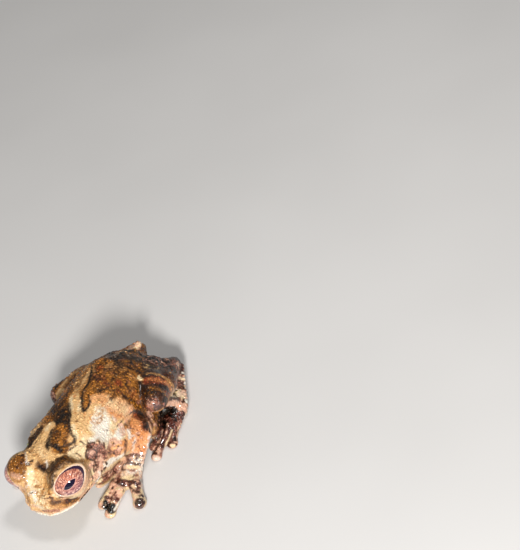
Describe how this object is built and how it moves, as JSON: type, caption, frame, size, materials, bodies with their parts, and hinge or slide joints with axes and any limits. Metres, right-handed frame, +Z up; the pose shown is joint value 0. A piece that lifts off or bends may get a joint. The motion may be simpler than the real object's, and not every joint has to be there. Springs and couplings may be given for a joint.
{
  "type": "marbled tree frog",
  "caption": "Life-size still model of a young marbled tree frog resting with folded limbs, scalloped limb fringes, toe discs and large eyes.",
  "frame": {"origin": "on the floor, under the middle of the bounds", "axes": "+X toward the snout, +Y to the animal's left, +Z up"},
  "size_m": [0.0306, 0.0216, 0.0116],
  "materials": {
    "back_skin": "wet, finely granular skin, golden olive and brown with a cream patch",
    "head_skin": "wet, finely granular skin, golden cream with dark netting",
    "arm_skin": "wet skin, orange brown",
    "leg_skin": "glossy wet skin, dark red brown",
    "banded_skin": "wet skin, banded cream and dark brown, with pale scalloped edges",
    "iris": "glassy eye, pinkish copper iris with a dark pupil"
  },
  "bodies": {
    "root": {"torso": "back_skin", "head": "head_skin", "eye_left": "iris", "eye_right": "iris", "upper_arm_left": "arm_skin", "upper_arm_right": "arm_skin", "forearm_left": "banded_skin", "forearm_right": "banded_skin", "hand_left": "banded_skin", "hand_right": "banded_skin", "thigh_left": "leg_skin", "thigh_right": "leg_skin", "shank_left": "leg_skin", "shank_right": "leg_skin", "foot_left": "banded_skin", "foot_right": "banded_skin"}
  },
  "joints": []
}
